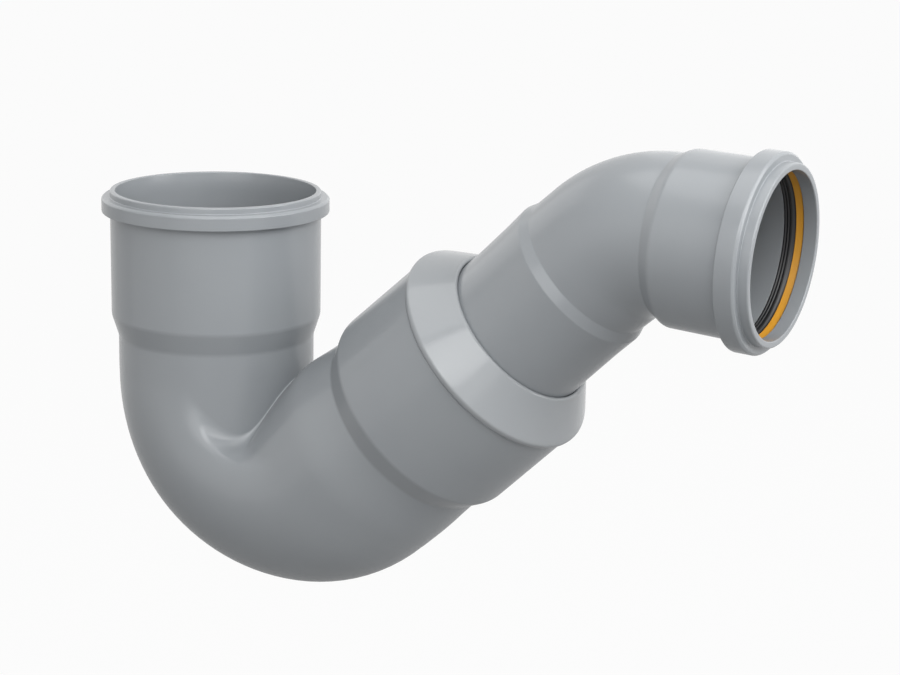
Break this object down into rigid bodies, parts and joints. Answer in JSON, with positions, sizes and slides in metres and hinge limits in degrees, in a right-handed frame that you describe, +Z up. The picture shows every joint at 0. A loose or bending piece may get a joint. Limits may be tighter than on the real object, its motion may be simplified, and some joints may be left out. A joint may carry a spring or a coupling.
{
  "type": "bell mouth trap",
  "caption": "U-bend drain trap with a plain vertical bell mouth inlet and a swivelling outlet elbow sealed into its rising leg by a conical socket cap.",
  "frame": {"origin": "on the inlet's axis, at the stop where the inlet pipe's end comes to rest", "axes": "+Z up along the inlet's axis and out of its mouth; +X towards the outlet in the trap's plane of symmetry"},
  "size_m": [0.4062, 0.1278, 0.2725],
  "materials": {
    "grey_pvc": "satin moulded PVC-U",
    "seal_rubber": "moulded rubber",
    "yellow_ring": "moulded plastic"
  },
  "bodies": {
    "trap": {"trap_body": "grey_pvc", "socket_cap": "grey_pvc", "spigot_seal": "seal_rubber"},
    "outlet_bend": {"outlet_elbow": "grey_pvc", "outlet_seal": "seal_rubber", "seal_clamp_ring": "yellow_ring"}
  },
  "joints": [
    {"name": "outlet_swivel", "type": "hinge", "parent": "trap", "child": "outlet_bend", "pos_m": [0.18157, 0, 0.0043], "axis": [0.7314, 0, 0.682], "continuous": true}
  ]
}
